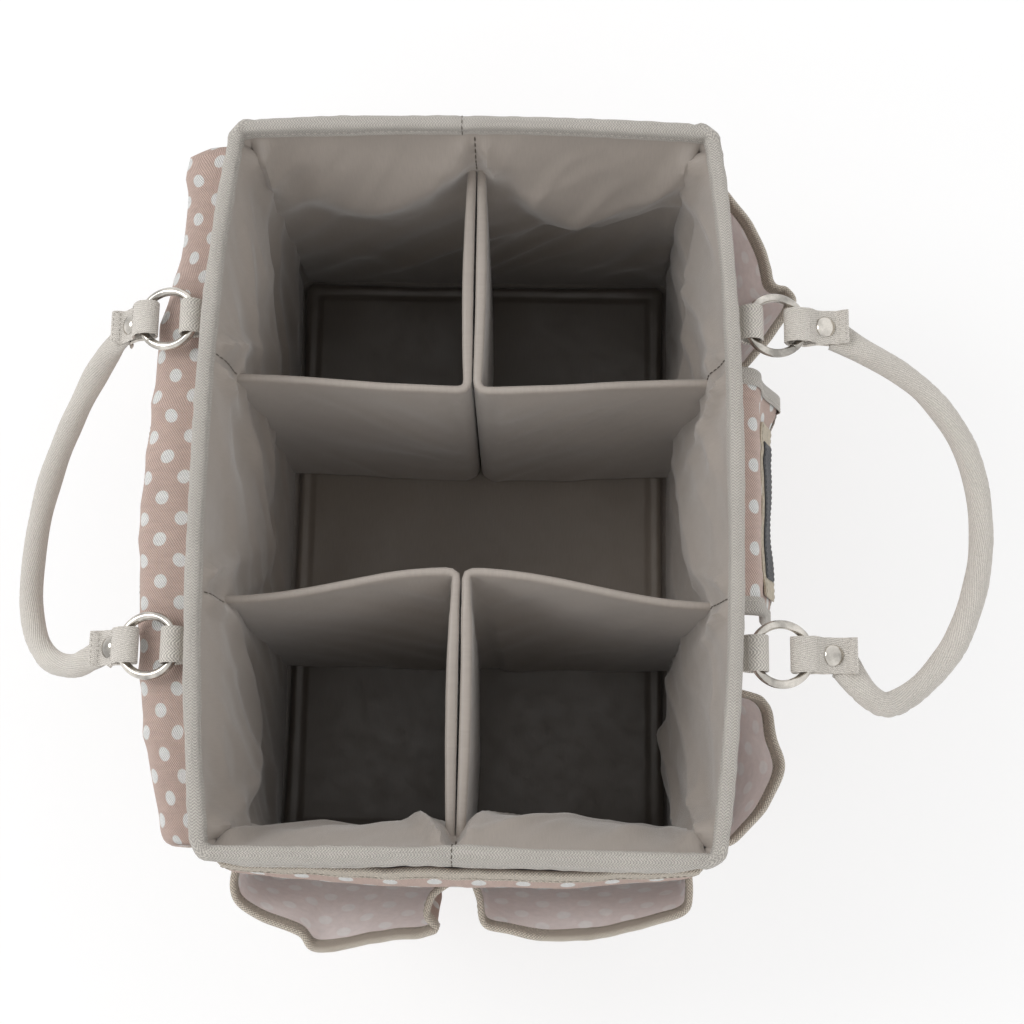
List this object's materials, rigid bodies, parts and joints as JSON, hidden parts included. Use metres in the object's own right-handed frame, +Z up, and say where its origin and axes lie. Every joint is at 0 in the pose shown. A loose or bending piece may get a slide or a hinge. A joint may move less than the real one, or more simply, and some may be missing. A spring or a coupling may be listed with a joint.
{
  "type": "craft organizer tote",
  "caption": "Open-topped fabric organizer tote with board-stiffened walls, L-shaped dividers, outer pockets, a lifting flap and stuffed carry handles hung on metal rings.",
  "frame": {"origin": "centre of the flat underside of the base", "axes": "+X to the side with the flap, +Y to the plain back wall, +Z up out of the open top"},
  "size_m": [0.5586, 0.4603, 0.2458],
  "materials": {
    "dotted_twill": "dusty pink cotton twill with a small regular off-white dot pattern",
    "satin_lining": "smooth grey woven lining with a slight sheen",
    "grey_webbing": "warm light grey plain-woven cotton webbing",
    "base_canvas": "warm grey canvas",
    "twill_tape": "taupe twill tape",
    "stiff_board": "grey pressed board",
    "nickel": "polished nickel plate on steel",
    "cream_label": "cream cotton canvas",
    "dark_patch": "dark grey woven patch, bare",
    "handle_core": "soft twisted cotton filling"
  },
  "bodies": {
    "tote": {"outer_shell": "dotted_twill", "front_slip_pocket": "dotted_twill", "front_left_pocket": "dotted_twill", "front_right_pocket": "dotted_twill", "right_back_pocket": "dotted_twill", "right_front_pocket": "dotted_twill", "right_middle_pocket": "dotted_twill", "left_pocket": "dotted_twill", "left_cover": "dotted_twill", "lining": "satin_lining", "floor_pad": "satin_lining", "divider_back_left": "satin_lining", "divider_back_right": "satin_lining", "divider_front_left": "satin_lining", "divider_front_right": "satin_lining", "rim_binding": "grey_webbing", "left_back_tab": "grey_webbing", "left_front_tab": "grey_webbing", "right_back_tab": "grey_webbing", "right_front_tab": "grey_webbing", "base_panel": "base_canvas", "front_slip_tape": "twill_tape", "front_left_tape": "twill_tape", "front_right_tape": "twill_tape", "right_back_tape": "twill_tape", "right_front_tape": "twill_tape", "left_cover_tape": "twill_tape", "base_board": "stiff_board", "left_wall_board": "stiff_board", "right_wall_board": "stiff_board", "back_board_left": "stiff_board", "back_board_right": "stiff_board", "front_board_left": "stiff_board", "front_board_right": "stiff_board", "divider_back_left_cross_board": "stiff_board", "divider_back_left_fin_board": "stiff_board", "divider_back_right_cross_board": "stiff_board", "divider_back_right_fin_board": "stiff_board", "divider_front_left_cross_board": "stiff_board", "divider_front_left_fin_board": "stiff_board", "divider_front_right_cross_board": "stiff_board", "divider_front_right_fin_board": "stiff_board"},
    "left_back_ring_body": {"left_back_ring": "nickel"},
    "left_front_ring_body": {"left_front_ring": "nickel"},
    "left_handle": {"left_handle_sleeve": "grey_webbing", "left_handle_core": "handle_core", "left_back_rivet": "nickel", "left_front_rivet": "nickel"},
    "right_back_ring_body": {"right_back_ring": "nickel"},
    "right_front_ring_body": {"right_front_ring": "nickel"},
    "right_handle": {"right_handle_sleeve": "grey_webbing", "right_handle_core": "handle_core", "right_back_rivet": "nickel", "right_front_rivet": "nickel"},
    "flap": {"right_flap": "dotted_twill", "right_flap_tape": "grey_webbing", "right_label": "cream_label", "right_label_patch": "dark_patch"}
  },
  "joints": [
    {"name": "left_back_ring_swing", "type": "hinge", "parent": "tote", "child": "left_back_ring_body", "pos_m": [-0.15618, 0.092, 0.2288], "axis": [0, 1, 0], "range_deg": [0, 100]},
    {"name": "left_front_ring_swing", "type": "hinge", "parent": "tote", "child": "left_front_ring_body", "pos_m": [-0.15618, -0.092, 0.2288], "axis": [0, 1, 0], "range_deg": [0, 100]},
    {"name": "left_handle_swing", "type": "hinge", "parent": "left_back_ring_body", "child": "left_handle", "pos_m": [-0.18343, 0, 0.22301], "axis": [0, 1, 0], "range_deg": [0, 60]},
    {"name": "right_back_ring_swing", "type": "hinge", "parent": "tote", "child": "right_back_ring_body", "pos_m": [0.15618, 0.092, 0.2288], "axis": [0, -1, 0], "range_deg": [0, 100]},
    {"name": "right_front_ring_swing", "type": "hinge", "parent": "tote", "child": "right_front_ring_body", "pos_m": [0.15618, -0.092, 0.2288], "axis": [0, -1, 0], "range_deg": [0, 100]},
    {"name": "right_handle_swing", "type": "hinge", "parent": "right_back_ring_body", "child": "right_handle", "pos_m": [0.18377, 0, 0.22492], "axis": [0, -1, 0], "range_deg": [0, 60]},
    {"name": "flap_lift", "type": "hinge", "parent": "tote", "child": "flap", "pos_m": [0.1477, 0, 0.2228], "axis": [0, -1, 0], "range_deg": [0, 85]}
  ],
  "couplings": [
    {"joint": "left_front_ring_swing", "follows": "left_back_ring_swing", "ratio": 1},
    {"joint": "right_front_ring_swing", "follows": "right_back_ring_swing", "ratio": 1}
  ]
}
